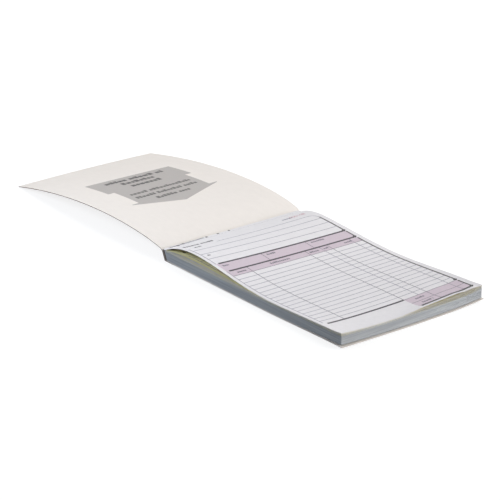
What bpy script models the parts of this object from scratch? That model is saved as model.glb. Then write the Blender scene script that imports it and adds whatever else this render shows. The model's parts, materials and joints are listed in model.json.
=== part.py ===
"""Duplicate invoice book, lying open on a table.

The pad holds numbered sets, each a white original over a yellow duplicate. Its head is glued into a
wrap-around card cover, whose front flap is folded back over the head and arches down to the table.
The foot of the page points to -Y and the bound head to +Y. The origin is the middle of the underside of the
pad's back cover. Lengths are in metres.
"""

import math

import bmesh
import bpy

MM = 0.001

# Pad and paper
PAGE_WIDTH = 135 * MM
PAGE_LENGTH = 210 * MM
PAPER = 0.075 * MM
LOOSE_SETS = 8  # sets at the top, whose leaves have come loose and turn
PRESSED_SETS = 42  # sets below them, still pressed into one block
PRESSED_LEAF = 0.0775 * MM  # height that one leaf takes up in the block
LOOSE_GAP = 0.025 * MM  # air between two loose leaves
STUB_DEPTH = 3 * MM  # glued head of the pad, from its edge to the perforation
STUB_DROP = 0.35 * MM  # the glued stub is squeezed this much below the loose leaves
HEAD_SLANT = 3.4 * MM  # the lowest leaves' heads lie this much nearer to the foot than the top ones'
SLIT = 0.4 * MM  # perforation line, where a leaf turns or tears off

# Wrap-around cover
CARD = 0.5 * MM
COVER_OVERHANG = 0.8 * MM  # the card stands out this far past the sides and foot of the paper
SEAT_GAP = 0.05 * MM  # between the pad and what it lies against
GLUE = 0.25 * MM
GLUE_MARGIN = 0.6 * MM  # bare edge of the spine around the film of glue
CREASE_RADIUS = 0.55 * MM  # bend of the card from the back to the spine
SPINE_GLUED = 7.0 * MM  # height to which the spine still sticks to the head
CREASE_OUT = 1.6 * MM  # from the head of the top leaves to the scored line that the flap folds on
CREASE_HEIGHT = 8.5 * MM
CREASE_GAP = 0.45 * MM  # from the scored line to the edges of spine and flap
FLAP_REACH = 204.4 * MM  # from the scored line to the free edge, as it lies
FLAP_ARCH_LEFT = 10.2 * MM
FLAP_ARCH_RIGHT = 10.5 * MM
FLAP_ARCH_SKEW_LEFT = 0.9  # below 1 moves the top of the arch towards the spine
FLAP_ARCH_SKEW_RIGHT = 0.8
FREE_EDGE_BOW = 0.8 * MM  # the free edge stands on its two corners

# Curl of the paper
BULGE_LEFT = 8.2 * MM  # height of the top original's bulge behind the perforation
BULGE_MIDDLE = 5.3 * MM
BULGE_RIGHT = 4.1 * MM
BULGE_REACH_LEFT = 143 * MM
BULGE_REACH_RIGHT = 126 * MM
BULGE_TAIL = 2.9  # above 1 draws the bulge out towards the foot
RIDGE = 1.1 * MM  # the bulge's steeper start along the right edge
RIDGE_REACH = 60 * MM
RIDGE_POWER = 4  # the higher, the nearer to the edge it stays
BULGE_SHARES = (1.0, 0.33, 0.17, 0.09)  # of the first leaves, from the top
CURL_REACH = 95 * MM  # length at the foot over which the long edges curl up
CURL_LEFT = 2.4 * MM
CURL_RIGHT = 3.8 * MM
CURL_LEFT_POWER = 2.8  # the higher, the nearer to its edge the paper stays flat
CURL_RIGHT_POWER = 6.0
CURL_RIGHT_POWER_TOP = 1.5  # the top original curls from its middle on, the next ones less so
CURL_PRESSED = 0.75  # share of the curl that the pressed sets take
FOOT_REACH = 16 * MM  # length at the foot that bends up and fans out
FOOT_RISE = 0.7 * MM
FOOT_LIFT = 2.1 * MM  # how far the top original's foot has come up
FOOT_FAN = (1.0, 0.72, 0.48, 0.28, 0.14, 0.05)  # share of it in the first leaves, from the top
FOOT_LIFT_FROM = -15 * MM  # where the lift starts and how far it takes to open
FOOT_LIFT_RAMP = 32 * MM
FOOT_DROOP_FROM = 56.5 * MM  # where it starts to close towards the right corner
FOOT_DROOP_RAMP = 12 * MM
FOOT_DROOP = 0.8

# Facets
STATIONS_ACROSS = (-1.0, -0.86, -0.68, -0.45, -0.22, 0.02, 0.26, 0.52, 0.72, 0.84, 0.93, 1.0)
STATIONS_FOOT = (0.0, 0.045, 0.1, 0.17, 0.3, 0.46)
STATIONS_BULGE = (1.0, 0.88, 0.76, 0.64, 0.53, 0.43, 0.34, 0.26, 0.19, 0.13, 0.08, 0.04, 0.0)
FLAP_STATIONS_ACROSS = (-1.0, -0.5, 0.0, 0.5, 1.0)
FLAP_STATIONS = 26
CREASE_STEPS = 6
LEAST_FACET = 5 * MM

# Places that follow from the sizes
HALF_WIDTH = PAGE_WIDTH / 2
HEAD_Y = PAGE_LENGTH / 2
FOOT_Y = -PAGE_LENGTH / 2
SLIT_Y = HEAD_Y - STUB_DEPTH
LEAF_HEAD_Y = SLIT_Y - SLIT / 2
STUB_FOOT_Y = SLIT_Y + SLIT / 2
LOOSE_LEAVES = 2 * LOOSE_SETS
LOOSE_PITCH = PAPER + LOOSE_GAP
PAD_BOTTOM = CARD + SEAT_GAP
PRESSED_TOP = PAD_BOTTOM + 2 * PRESSED_SETS * PRESSED_LEAF
PAD_TOP = PRESSED_TOP + LOOSE_LEAVES * LOOSE_PITCH
STUB_TOP = PAD_TOP - STUB_DROP
HEAD_RISE = STUB_TOP - PAD_BOTTOM
HEAD_LEAN = math.atan2(HEAD_RISE, HEAD_SLANT)
GLUE_OUT = SEAT_GAP + GLUE / 2
SPINE_OUT = 2 * SEAT_GAP + GLUE + CARD / 2
INNER_RADIUS = max(CREASE_RADIUS - CARD / 2, 0.0)
CREASE_Y = HEAD_Y + CREASE_OUT
COVER_WIDTH = PAGE_WIDTH + 2 * COVER_OVERHANG


def mix(first, last, share):
    return first + (last - first) * share


def linear(code):
    """An sRGB hex colour as linear RGBA."""
    values = [int(code[i : i + 2], 16) / 255 for i in (0, 2, 4)]
    return [v / 12.92 if v <= 0.04045 else ((v + 0.055) / 1.055) ** 2.4 for v in values] + [1.0]


def finish(name, code, roughness):
    """A plain material for paper, card or glue, none of which is metal."""
    material = bpy.data.materials.new(name)
    material.use_nodes = True
    shader = material.node_tree.nodes["Principled BSDF"]
    shader.inputs["Base Color"].default_value = linear(code)
    shader.inputs["Roughness"].default_value = roughness
    shader.inputs["Metallic"].default_value = 0.0
    material.diffuse_color = linear(code)
    return material


def place(name, shape, material, origin=(0.0, 0.0, 0.0), parent=None):
    """An object whose mesh was drawn in the book's frame, with its own origin moved to a given point."""
    bmesh.ops.translate(shape, verts=shape.verts, vec=[-value for value in origin])
    bmesh.ops.recalc_face_normals(shape, faces=shape.faces)
    mesh = bpy.data.meshes.new(name)
    shape.to_mesh(mesh)
    shape.free()
    mesh.materials.append(material)
    piece = bpy.data.objects.new(name, mesh)
    bpy.context.scene.collection.objects.link(piece)
    carried_at = parent["joint_at"] if parent else (0.0, 0.0, 0.0)
    piece.parent = parent
    piece.location = [own - carrier for own, carrier in zip(origin, carried_at)]
    piece["joint_at"] = origin
    return piece


def sheet(across, along, top, bottom):
    """A closed slab over a grid of stations: top and bottom give the heights of its two faces."""
    shape = bmesh.new()
    rows = [[shape.verts.new((x, y, top(x, y))) for x in across] for y in along]
    for near, far in zip(rows, rows[1:]):
        for left, right, far_left, far_right in zip(near, near[1:], far, far[1:]):
            shape.faces.new((left, right, far_right))
            shape.faces.new((left, far_right, far_left))
    lower = bmesh.ops.extrude_face_region(shape, geom=shape.faces[:])
    for point in lower["geom"]:
        if isinstance(point, bmesh.types.BMVert):
            point.co.z = bottom(point.co.x, point.co.y)
    return shape


def widened(shape, width):
    """Turns a flat outline, drawn on the left side of the book, into a solid with its width along X."""
    side = bmesh.ops.extrude_face_region(shape, geom=shape.faces[:])
    points = [item for item in side["geom"] if isinstance(item, bmesh.types.BMVert)]
    bmesh.ops.translate(shape, verts=points, vec=(width, 0.0, 0.0))
    return shape


def bent_strip(path, thickness, width):
    """A strip of even thickness bent along a path of (y, z, heading) points, with its width along X."""
    shape = bmesh.new()
    pairs = []
    for y, z, heading in path:
        side_y = -math.sin(heading) * thickness / 2
        side_z = math.cos(heading) * thickness / 2
        inner = shape.verts.new((-width / 2, y + side_y, z + side_z))
        outer = shape.verts.new((-width / 2, y - side_y, z - side_z))
        pairs.append((inner, outer))
    for (inner, outer), (next_inner, next_outer) in zip(pairs, pairs[1:]):
        shape.faces.new((inner, outer, next_outer, next_inner))
    return widened(shape, width)


def ease(share):
    """From 0 to 1 with a flat start and a flat end."""
    share = min(max(share, 0.0), 1.0)
    return share * share * (3 - 2 * share)


def head_y(z, out=0.0):
    """Place of the pad's slanted head at a height, or of a layer that lies a distance out from it."""
    return HEAD_Y - HEAD_SLANT * (STUB_TOP - z) / HEAD_RISE + out / math.sin(HEAD_LEAN)


def hump(along):
    """A hump 1 high, which starts at a slope and lands flat."""
    if not 0 < along < 1:
        return 0.0
    peak = 1 / (1 + BULGE_TAIL)
    return along * (1 - along) ** BULGE_TAIL / (peak * (1 - peak) ** BULGE_TAIL)


def bulge(x, y):
    """How far the top original stands up behind the perforation, most along its left edge."""
    across = x / PAGE_WIDTH + 0.5
    left = BULGE_LEFT * (1 - across) * (1 - 2 * across)
    middle = BULGE_MIDDLE * 4 * across * (1 - across)
    right = BULGE_RIGHT * across * (2 * across - 1)
    reach = mix(BULGE_REACH_LEFT, BULGE_REACH_RIGHT, across)
    ridge = RIDGE * across**RIDGE_POWER * hump((LEAF_HEAD_Y - y) / RIDGE_REACH)
    return (left + middle + right) * hump((LEAF_HEAD_Y - y) / reach) + ridge


def curl(x, y, right_power):
    """How far a leaf curls up along its long edges and its foot."""
    left = CURL_LEFT * max(0.0, -x / HALF_WIDTH) ** CURL_LEFT_POWER
    right = CURL_RIGHT * max(0.0, x / HALF_WIDTH) ** right_power
    foot = FOOT_RISE * max(0.0, 1 - (y - FOOT_Y) / FOOT_REACH) ** 2
    return ease(1 - (y - FOOT_Y) / CURL_REACH) * (left + right) + foot


def foot_lift(x, y):
    """How far the top original's foot has come up, right of the middle."""
    opened = ease((x - FOOT_LIFT_FROM) / FOOT_LIFT_RAMP)
    drooped = FOOT_DROOP * ease((x - FOOT_DROOP_FROM) / FOOT_DROOP_RAMP)
    return FOOT_LIFT * opened * (1 - drooped) * max(0.0, 1 - (y - FOOT_Y) / FOOT_REACH) ** 2


def leaf_level(index):
    """Height of a loose leaf's upper face where it lies flat, counted from the top of the pad."""
    return PAD_TOP - index * LOOSE_PITCH


def leaf_height(index):
    """The function that gives the height of a loose leaf's upper face anywhere on the page."""
    bulge_share = BULGE_SHARES[index] if index < len(BULGE_SHARES) else 0.0
    curl_share = mix(CURL_PRESSED, 1.0, 1 - index / LOOSE_LEAVES)
    fan_share = FOOT_FAN[index] if index < len(FOOT_FAN) else 0.0

    def height(x, y):
        curled = mix(curl(x, y, CURL_RIGHT_POWER), curl(x, y, CURL_RIGHT_POWER_TOP), fan_share)
        lifted = bulge_share * bulge(x, y) + fan_share * foot_lift(x, y)
        return leaf_level(index) + curl_share * curled + lifted

    return height


def arch_height(x, y):
    """Height of the middle of the flap's card, from the scored line to its free edge."""
    along = (y - CREASE_Y) / FLAP_REACH
    across = x / COVER_WIDTH + 0.5
    skewed = along ** mix(FLAP_ARCH_SKEW_LEFT, FLAP_ARCH_SKEW_RIGHT, across)
    arch = mix(FLAP_ARCH_LEFT, FLAP_ARCH_RIGHT, across) * 4 * skewed * (1 - skewed)
    bow = FREE_EDGE_BOW * (1 - (2 * x / COVER_WIDTH) ** 2) * along**6
    return mix(CREASE_HEIGHT, CARD / 2, along) + arch + bow


def across_page(stations):
    return [HALF_WIDTH * share for share in stations]


def along_page(bulged):
    """Stations from the foot of a leaf to its head, the same for every leaf where they all curl."""
    foot = [FOOT_Y + CURL_REACH * share for share in STATIONS_FOOT]
    bends = [LEAF_HEAD_Y - BULGE_REACH_LEFT * share for share in STATIONS_BULGE]
    stations = foot + [y for y in bends if y > foot[-1] + LEAST_FACET]
    if bulged:
        return stations
    curled = [y for y in stations if y < FOOT_Y + CURL_REACH]
    return stations[: len(curled) + 1] + [LEAF_HEAD_Y]


def make_back_cover(material, book):
    """Back panel and spine in one piece of card, bent up round the slanted head of the pad."""
    top = CREASE_HEIGHT - CREASE_GAP
    glued_y = head_y(SPINE_GLUED, SPINE_OUT)
    opened = math.atan2(top - SPINE_GLUED, CREASE_Y - glued_y)
    bend_top = CARD / 2 + CREASE_RADIUS * (1 - math.cos(HEAD_LEAN))
    bend_y = head_y(bend_top, SPINE_OUT) - CREASE_RADIUS * math.sin(HEAD_LEAN)
    path = [(FOOT_Y - COVER_OVERHANG, CARD / 2, 0.0)]
    for step in range(CREASE_STEPS + 1):
        turn = HEAD_LEAN * step / CREASE_STEPS
        y = bend_y + CREASE_RADIUS * math.sin(turn)
        z = CARD / 2 + CREASE_RADIUS * (1 - math.cos(turn))
        path.append((y, z, turn))
    path.append((glued_y, SPINE_GLUED, (HEAD_LEAN + opened) / 2))
    path.append((CREASE_Y, top, opened))
    return place("back_cover", bent_strip(path, CARD, COVER_WIDTH), material, parent=book)


def make_front_flap(material, book):
    """Front of the cover, folded back so that its inside shows."""
    start = CREASE_Y + CREASE_GAP
    length = FLAP_REACH - CREASE_GAP
    along = [start + length * step / (FLAP_STATIONS - 1) for step in range(FLAP_STATIONS)]
    shape = sheet(
        [COVER_WIDTH / 2 * share for share in FLAP_STATIONS_ACROSS],
        along,
        lambda x, y: arch_height(x, y) + CARD / 2,
        lambda x, y: arch_height(x, y) - CARD / 2,
    )
    return place("front_flap", shape, material, (0.0, CREASE_Y, CREASE_HEIGHT), book)


def make_spine_glue(material, book):
    """Film of padding glue that holds the head of the pad to the spine."""
    heights = (PAD_BOTTOM + CREASE_RADIUS, SPINE_GLUED)
    path = [(head_y(z, GLUE_OUT), z, HEAD_LEAN) for z in heights]
    return place("spine_glue", bent_strip(path, GLUE, PAGE_WIDTH - 2 * GLUE_MARGIN), material, parent=book)


def make_bound_stub(material, book):
    """Glued heads of all the leaves, up to the perforation, eased where the card bends round them."""
    eased = PAD_BOTTOM + INNER_RADIUS
    outline = (
        (STUB_FOOT_Y - HEAD_SLANT, PAD_BOTTOM),
        (head_y(PAD_BOTTOM) - INNER_RADIUS, PAD_BOTTOM),
        (head_y(eased), eased),
        (HEAD_Y, STUB_TOP),
        (STUB_FOOT_Y, STUB_TOP),
        (STUB_FOOT_Y, PRESSED_TOP),
    )
    shape = bmesh.new()
    shape.faces.new([shape.verts.new((-HALF_WIDTH, y, z)) for y, z in outline])
    return place("bound_stub", widened(shape, PAGE_WIDTH), material, parent=book)


def make_pressed_sets(material, book):
    """Sets that have not been opened yet, one block that fans out a little at the foot."""
    shape = sheet(
        across_page(STATIONS_ACROSS),
        along_page(False),
        lambda x, y: PRESSED_TOP + CURL_PRESSED * curl(x, y, CURL_RIGHT_POWER),
        lambda x, y: PAD_BOTTOM,
    )
    for point in shape.verts:
        if point.co.z < PRESSED_TOP / 2:
            point.co.y = min(point.co.y, LEAF_HEAD_Y - HEAD_SLANT)
    return place("pressed_sets", shape, material, parent=book)


def make_leaf(index, name, material, carrier):
    """One loose leaf, hinged where its upper face meets the perforation."""
    height = leaf_height(index)
    shape = sheet(
        across_page(STATIONS_ACROSS),
        along_page(index < len(BULGE_SHARES)),
        height,
        lambda x, y: height(x, y) - PAPER,
    )
    return place(name, shape, material, (0.0, SLIT_Y, leaf_level(index)), carrier)


def make_loose_sets(white, yellow, book):
    """Loose leaves from the lowest up. Each curled leaf at the top is carried by the one under it."""
    carrier = book
    for index in reversed(range(LOOSE_LEAVES)):
        is_original = index % 2 == 0
        kind = "original" if is_original else "duplicate"
        name = f"{kind}_{index // 2 + 1}"
        leaf = make_leaf(index, name, white if is_original else yellow, carrier)
        if index < len(BULGE_SHARES):
            carrier = leaf


def main():
    for old in list(bpy.data.objects):
        bpy.data.objects.remove(old, do_unlink=True)
    book = bpy.data.objects.new("invoice_book", None)
    book["joint_at"] = (0.0, 0.0, 0.0)
    bpy.context.scene.collection.objects.link(book)
    card = finish("cover_card", "E8E1DB", 0.6)
    white = finish("white_carbonless_paper", "DEDEE2", 0.75)
    yellow = finish("yellow_carbonless_paper", "D2D09A", 0.75)
    make_back_cover(card, book)
    make_front_flap(card, book)
    make_spine_glue(finish("padding_glue", "E4DFC8", 0.4), book)
    make_bound_stub(finish("glued_paper_edges", "A9AFB6", 0.8), book)
    make_pressed_sets(finish("pressed_paper_edges", "9CA3AE", 0.8), book)
    make_loose_sets(white, yellow, book)


main()
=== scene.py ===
"""Looks of the duplicate invoice book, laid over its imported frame.

The book lies open on a table. One card wraps the pad's back and spine, and its front flap lies folded back over the
head. The white top original has sprung up behind its perforation, and yellow duplicates show in the gap under it.
Lengths are in millimetres until a mesh is made. The frame is in metres.
"""

import json
import math

import bpy
import numpy as np
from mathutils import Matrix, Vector

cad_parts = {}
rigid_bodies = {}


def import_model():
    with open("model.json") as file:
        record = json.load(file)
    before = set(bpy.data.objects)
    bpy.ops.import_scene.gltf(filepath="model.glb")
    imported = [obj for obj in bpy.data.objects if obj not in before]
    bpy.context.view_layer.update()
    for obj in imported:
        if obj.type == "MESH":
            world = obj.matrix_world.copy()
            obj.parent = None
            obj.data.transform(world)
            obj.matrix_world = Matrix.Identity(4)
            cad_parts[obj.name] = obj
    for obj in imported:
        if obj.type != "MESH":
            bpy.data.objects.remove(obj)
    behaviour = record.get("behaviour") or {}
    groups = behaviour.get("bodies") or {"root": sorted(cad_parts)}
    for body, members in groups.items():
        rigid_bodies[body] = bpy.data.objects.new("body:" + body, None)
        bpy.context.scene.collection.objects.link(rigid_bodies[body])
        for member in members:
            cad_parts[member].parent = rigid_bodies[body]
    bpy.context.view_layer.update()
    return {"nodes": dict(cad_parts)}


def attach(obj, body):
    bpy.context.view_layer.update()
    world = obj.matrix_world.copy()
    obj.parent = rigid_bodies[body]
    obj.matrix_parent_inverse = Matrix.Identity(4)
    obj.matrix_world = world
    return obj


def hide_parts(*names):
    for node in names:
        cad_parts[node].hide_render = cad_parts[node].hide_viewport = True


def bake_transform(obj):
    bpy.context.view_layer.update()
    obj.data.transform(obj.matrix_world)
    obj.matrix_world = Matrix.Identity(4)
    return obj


for left_over in list(bpy.data.objects):
    bpy.data.objects.remove(left_over)
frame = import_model()
scene = bpy.context.scene
scene.view_settings.view_transform = "Standard"

MM = 0.001
LEAF_SEED, FORM_SEED, FLAP_SEED, PRESSED_SEED = 7, 11, 5, 3

# Pad and paper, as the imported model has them
PAGE_WIDTH = 135.0
PAGE_LENGTH = 210.0
PAPER = 0.075
LOOSE_LEAVES = 16
LOOSE_PITCH = 0.1
PRESSED_LEAVES = 84
PRESSED_LEAF = 0.0775
STUB_DEPTH = 3.0
STUB_DROP = 0.35
HEAD_SLANT = 3.4
HALF_WIDTH = PAGE_WIDTH / 2
HEAD_Y = PAGE_LENGTH / 2
FOOT_Y = -PAGE_LENGTH / 2
SLIT_Y = HEAD_Y - STUB_DEPTH
LEAF_HEAD_GAP = 0.2
LEAF_HEAD_Y = SLIT_Y - LEAF_HEAD_GAP

# Wrap-around cover
CARD = 0.5
COVER_OVERHANG = 0.8
COVER_FOOT = 1.6
BACK_GAP = 0.05
HEAD_ROOM = 0.12  # lets the leaves turn clear of the glued head
COVER_WIDTH = PAGE_WIDTH + 2 * COVER_OVERHANG
PAD_BOTTOM = CARD + BACK_GAP
PRESSED_TOP = PAD_BOTTOM + PRESSED_LEAVES * PRESSED_LEAF
PAD_TOP = PRESSED_TOP + LOOSE_LEAVES * LOOSE_PITCH
STUB_TOP = PAD_TOP - STUB_DROP
HEAD_TOP = PAD_TOP - HEAD_ROOM
HEAD_LEAN = math.atan2(STUB_TOP - PAD_BOTTOM, HEAD_SLANT)
SPINE_OUT = 0.6
SPINE_BEND = 0.55
SPINE_STRAIGHT_TO = 5.6
CREASE_Y = 106.6
CREASE_HEIGHT = 8.5
CREASE_WIDTH = 1.6
CREASE_END_Y = CREASE_Y + CREASE_WIDTH
FLAP_REACH = 204.4
FLAP_ARCH_LEFT = 10.2
FLAP_ARCH_RIGHT = 10.5
FLAP_ARCH_SKEW_LEFT = 0.9
FLAP_ARCH_SKEW_RIGHT = 0.8
FREE_EDGE_BOW = 0.8
FREE_EDGE_POWER = 6
# The third place is the spine's and the flap's cut edge, painted dark as painted shade
INSIDE, OUTSIDE, SHADED_EDGE, PLAIN_EDGE = range(4)  # places of the card's materials
SLOPE_STEP = 0.2
FLAP_CLOSE_ROWS = (2.2, 6.0, 0.8)  # first, end and step, past the crease
FLAP_WIDE_ROWS = 6.5

# Curl of the paper
BULGE_LEFT = 8.2
BULGE_MIDDLE = 5.3
BULGE_RIGHT = 4.1
BULGE_REACH_LEFT = 143.0
BULGE_REACH_RIGHT = 126.0
BULGE_TAIL = 2.9
BULGE_SHARES = (1.0, 0.33, 0.17, 0.09)
RIDGE = 1.1
RIDGE_REACH = 60.0
RIDGE_POWER = 4
CURL_REACH = 95.0
CURL_LEFT = 2.4
CURL_RIGHT = 3.8
CURL_LEFT_POWER = 2.8
CURL_RIGHT_POWER = 6.0
CURL_RIGHT_POWER_TOP = 1.5
CURL_PRESSED = 0.75
FOOT_REACH = 16.0
FOOT_RISE = 0.7
FOOT_LIFT = 1.5
FOOT_FAN = (1.0, 0.68, 0.6, 0.53, 0.46, 0.39, 0.33, 0.27, 0.21, 0.15, 0.1, 0.05)
FOOT_LIFT_FROM = -15.0
FOOT_LIFT_RAMP = 32.0
FOOT_DROOP_FROM = 40.0
FOOT_DROOP_RAMP = 12.0
FOOT_DROOP = 0.3
FOOT_CORNER_FROM = 57.0
FOOT_CORNER_RAMP = 8.0
FOOT_GAP = 0.35
FOOT_GAP_LEFT = 1.0
FOOT_GAP_REACH = 60.0
FOOT_GAP_POWER = 4
CARD_CURL_LEFT = 1.3
CARD_CURL_RIGHT = 2.1
CARD_CURL_LEFT_POWER = 1.4
CARD_CURL_RIGHT_POWER = 3.5

# Leaves, pressed block and glued head, as drawn
LEAF_SHIFT = 0.12
LEAF_SLIT = 0.03
WHITE_EDGES = 6  # so many of the upper leaves have a clean white edge
FINE_RIGHT_X = 37.5
FINE_FOOT_Y = -85.0
PRESSED_FILL = 0.97
PRESSED_SHIFT = 0.1
PRESSED_HEAD_GAP = 0.1
PRESSED_HEAD_Y = 90.0
PRESSED_FOOT_ROWS = 28.0
PRESSED_WIDE_X = 20.0
PRESSED_CLOSE_X = 30.0
STUB_FRONT = (0.03, 0.05, 0.09)
# The head's soaked band is dark brown: partly the glue, partly painted shade of the gap by the spine
SOAKED_SHADED_DEPTH = 1.1
SOAKED_SHADED_STEP = 0.08
LIP_IN = 0.4
LIP_OUT = 1.0
LIP_FALL = 0.04
LIP_DEPTH = 0.25
LIP_STEP = 0.5
PERFORATION_STEP = 1.6
PERFORATION_IN = 0.5
PERFORATION_SINK = 0.04
PERFORATION_CUT = (0.8, 0.12, 0.03)
# Painted shade at the head: a grey line along the fold's edge, and dark spots (x, y, width) where small gaps open at
# the fold
FOLD_SHADE_LINE = ((-63.0, 104.3), (-28.5, 105.1))
FOLD_SHADE_LINE_WIDTH = 0.9
FOLD_SHADE_LINE_LIFT = 0.05
FOLD_SHADE_SPOTS = ((-54.2, 104.2, 2.0), (-48.6, 105.0, 1.2), (-26.0, 105.0, 2.0), (-14.6, 105.1, 1.6), (-3.7, 105.2, 1.4))
FOLD_SHADE_SPOT_HALF = 1.0
FOLD_SHADE_SPOT_STEP = 1.0
FOLD_SHADE_SPOT_LIFT = 0.06
MARK_SINK = 0.02
SHARP_ANGLE = math.radians(38)

# Printed form, on every leaf
FORM_LEFT = -64.2
FORM_RIGHT = 62.6
FORM_CORNER = 2.4
ADDRESS_TOP = 80.9
ADDRESS_FOOT = 42.7
ADDRESS_LINES = 4
ADDRESS_CORNER = 7.0
ADDRESS_RULE_INSET = 30.0
ADDRESS_SIDE_GAP = 4.0
DETAIL_FOOT = 29.55
DETAIL_SIDE_GAP = 1.2
DETAIL_DIVIDERS = (-22.0, 21.2)
TABLE_TOP = 21.4
TABLE_FOOT = -83.4
TABLE_ROWS = 17
TABLE_SIDE_GAP = 2.0
TABLE_COLUMNS = (-45.9, 10.55, 24.6, 32.4, 54.5)
TOTAL_LEFT = 10.55
TOTAL_MIDDLE = -91.9
TOTAL_FOOT = -100.6
TOTAL_GAP = 1.5
FRAME_LINE = 1.3
CROSS_LINE = 1.9
CORNER_LINE = 2.8
TOTAL_LINE = 2.4
COLUMN_LINE = 0.5
RULE_LINE = 0.5
TINT_LIFT = 0.006
INK_LIFT = 0.012
INK_SINK = 0.006
LINE_STEP = 1.5
TINT_STEP = 2.5
BLOCK_STEP = 3.0
TOP_LIFT = 3.0  # the top original's print stands out this many times as far
DARK, GREY, PALE, TINT = range(4)  # places of the form's inks

# Lines of small blocks on the form: left, right, middle, and for all but the column titles the height
TITLE_LINES = ((-62.4, -34.4, 85.7, 3.2), (-57.0, -51.0, 78.6, 1.7), (-60.0, -57.4, 58.5, 1.7))
NUMBER_TITLE = (37.0, 47.5, 89.0, 2.6)
COLUMN_TITLE_HEIGHT = 2.2
COLUMN_TITLES = (
    (-61.0, -55.6, 38.4),
    (-18.7, -10.6, 38.8),
    (25.0, 38.0, 39.2),
    (-57.5, -48.8, 25.4),
    (-26.0, -7.5, 25.4),
    (12.6, 22.8, 25.4),
    (26.2, 31.0, 25.4),
    (46.9, 55.0, 25.4),
    (18.0, 27.0, -87.3),
    (17.5, 28.0, -95.4),
)
BLOCK_WIDTHS = (0.45, 0.75)
BLOCK_HEIGHTS = (0.74, 0.74, 1.0)
BLOCK_GAP = 0.2
GROUP_GAP = 0.4
GROUP_BLOCKS = 4
GROUP_END_CHANCE = 0.4
NUMBER_FIGURES = "000108"
NUMBER_HEIGHT = 5.2
NUMBER_PLACE = (44.6, 87.4, 0.0)
NUMBER_DEPTH = 0.006
NUMBER_LIFT = 0.01

# Arrow printed on the inside of the flap
ARROW_TILT = -0.0006
ARROW_SQUARE_Y = 202.0
ARROW_MIDDLE_X = 1.2
ARROW_LIFT = 0.03
ARROW_SINK = 0.02
ARROW_PARTS = (  # rows of (y, left x, right x): the tail, the shaft and the head
    ((217.3, -40.7, 42.9), (250.8, -40.7, 42.9)),
    ((182.6, -34.9, 36.4), (217.3, -34.9, 36.4)),
    ((166.0, 0.2, 0.4), (182.3, -41.6, 44.2), (183.3, -41.6, 44.2)),
)
ARROW_LINES = (  # left, right, middle, height and ink slot
    (-27.1, 30.8, 242.2, 6.0, 1),
    (-16.8, 19.2, 232.7, 6.0, 1),
    (-13.9, 16.6, 223.2, 6.0, 1),
    (-29.0, 30.7, 203.3, 4.6, 2),
    (-29.6, 31.5, 193.8, 4.6, 2),
    (-16.2, 18.1, 184.2, 4.6, 2),
)
ARROW_BLOCK_GAP = 0.12
ARROW_BLOCK_LIFT = 0.05

# Camera and light, in metres and watts
CAMERA_TARGET = Vector((-0.003283, 0.078902, 0.0))
CAMERA_DISTANCE = 1.617319
CAMERA_AZIMUTH = math.radians(-38.265)
CAMERA_ELEVATION = math.radians(21.947)
FRAME_PIXELS = 500
FOCAL_PIXELS = 2078.782
SENSOR_WIDTH = 36.0
WHITE_LIGHT = (1.0, 1.0, 1.0)
COOL_LIGHT = (0.9, 0.99, 1.11)
SOFT_BOXES = (  # name, place, aim, width, power and colour
    ("front_soft_box", (0.95, -0.95, 0.2), (0.0, 0.0, 0.0), 0.7, 21.6, WHITE_LIGHT),
    ("overhead_soft_box", (0.7, -0.6, 1.0), (0.0, 0.05, 0.0), 1.0, 5.8, WHITE_LIGHT),
    ("back_soft_box", (0.8, 1.1, 1.1), (0.0, 0.14, 0.0), 1.3, 16.0, WHITE_LIGHT),
    ("side_soft_box", (-0.39, 0.25, 0.277), (-0.067, 0.06, 0.0), 0.2, 1.03, COOL_LIGHT),
)
AMBIENT = 0.15
FLOOR_LIFT = 0.82
FLOOR_HALF = 4000.0
FLOOR_DROP = 0.05
FLOOR_DEPTH = 5.0


# Shapes


def mix(first, last, share):
    return first + (last - first) * share


def ease(share):
    share = np.clip(share, 0.0, 1.0)
    return share * share * (3 - 2 * share)


def hump(along):
    """A hump 1 high, which starts at a slope and lands flat."""
    along = np.clip(along, 0.0, 1.0)
    peak = 1 / (1 + BULGE_TAIL)
    return along * (1 - along) ** BULGE_TAIL / (peak * (1 - peak) ** BULGE_TAIL)


def bulge(x, y):
    """How far the top original stands up behind the perforation."""
    across = np.clip(x / PAGE_WIDTH + 0.5, 0.0, 1.0)
    left = BULGE_LEFT * (1 - across) * (1 - 2 * across)
    middle = BULGE_MIDDLE * 4 * across * (1 - across)
    right = BULGE_RIGHT * across * (2 * across - 1)
    reach = mix(BULGE_REACH_LEFT, BULGE_REACH_RIGHT, across)
    ridge = RIDGE * across**RIDGE_POWER * hump((LEAF_HEAD_Y - y) / RIDGE_REACH)
    return (left + middle + right) * hump((LEAF_HEAD_Y - y) / reach) + ridge


def curl(x, y, right_power):
    """Height of the curled long edges near the foot, and of the bent foot itself."""
    reach = ease(1 - (y - FOOT_Y) / CURL_REACH)
    left = CURL_LEFT * np.maximum(0.0, -x / HALF_WIDTH) ** CURL_LEFT_POWER
    right = CURL_RIGHT * np.maximum(0.0, x / HALF_WIDTH) ** right_power
    return reach * (left + right) + FOOT_RISE * np.maximum(0.0, 1 - (y - FOOT_Y) / FOOT_REACH) ** 2


def foot_lift(x, y):
    """How far the top original's foot has come up, right of the middle; the corner lies down again."""
    opened = ease((x - FOOT_LIFT_FROM) / FOOT_LIFT_RAMP) * (1 - ease((x - FOOT_CORNER_FROM) / FOOT_CORNER_RAMP))
    return FOOT_LIFT * opened * np.maximum(0.0, 1 - (y - FOOT_Y) / FOOT_REACH) ** 2


def card_curl(x, y):
    """How far the back cover's corners at the foot have come up from the table."""
    left = CARD_CURL_LEFT * np.maximum(0.0, -x / HALF_WIDTH) ** CARD_CURL_LEFT_POWER
    right = CARD_CURL_RIGHT * np.maximum(0.0, x / HALF_WIDTH) ** CARD_CURL_RIGHT_POWER
    return ease(1 - (y - FOOT_Y) / CURL_REACH) * (left + right)


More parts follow.
